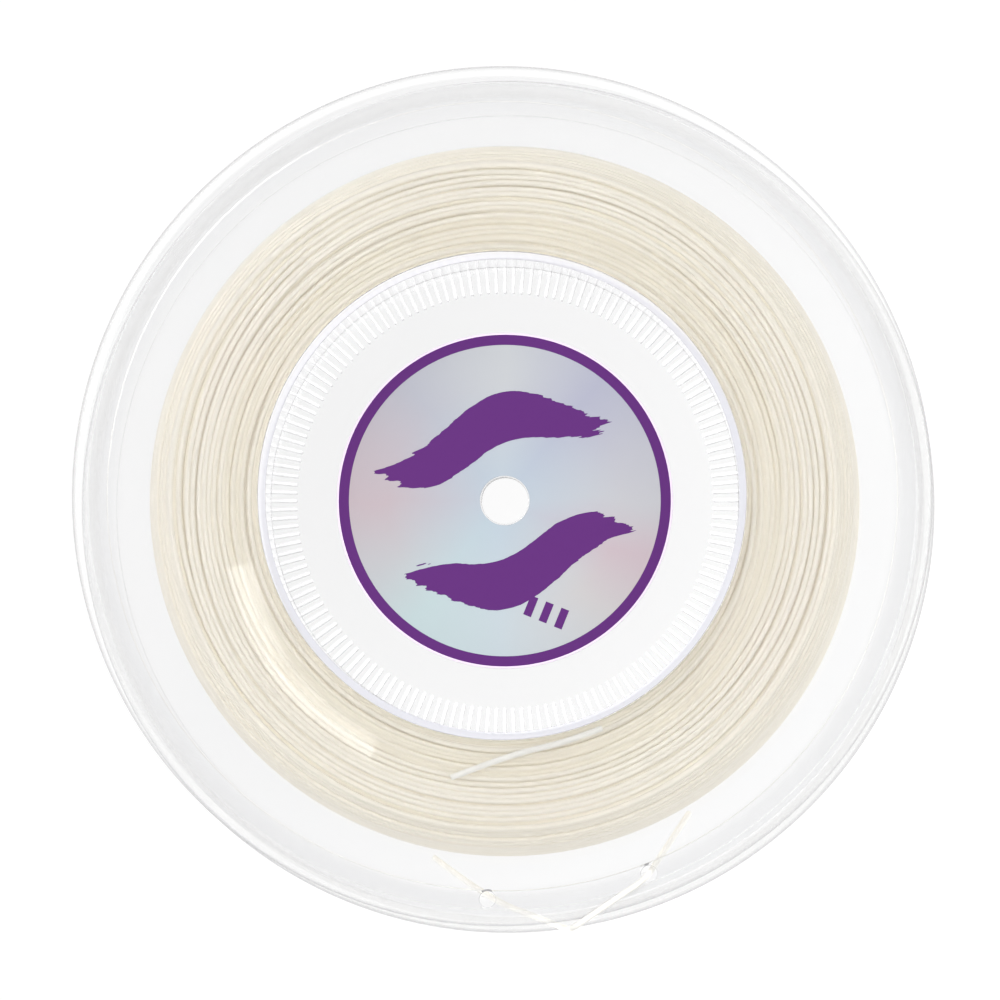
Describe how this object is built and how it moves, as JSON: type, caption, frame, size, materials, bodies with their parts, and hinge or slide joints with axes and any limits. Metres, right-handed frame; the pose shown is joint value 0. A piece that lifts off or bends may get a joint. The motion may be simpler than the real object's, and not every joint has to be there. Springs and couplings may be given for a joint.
{
  "type": "string reel",
  "caption": "Clear plastic reel with two wide round flanges, a hollow two-part drum wound with ivory racket string, a round label set deep in the front and a centre spindle hole.",
  "frame": {"origin": "centre of the rear rim's lower face, with the reel lying on its rear flange", "axes": "+Z along the spindle axis towards the labelled front side, +X to the right and +Y up as the label is read"},
  "size_m": [0.176, 0.1772, 0.0437],
  "materials": {
    "clear_plastic": "clear gloss",
    "string": "smooth satin",
    "label_film": "pearly film"
  },
  "bodies": {
    "root": {"rear_flange": "clear_plastic", "rear_drum": "clear_plastic", "string_coil": "string", "string_start": "string", "string_tail": "string", "front_flange": "clear_plastic", "front_drum": "clear_plastic", "front_label": "label_film"}
  },
  "joints": []
}
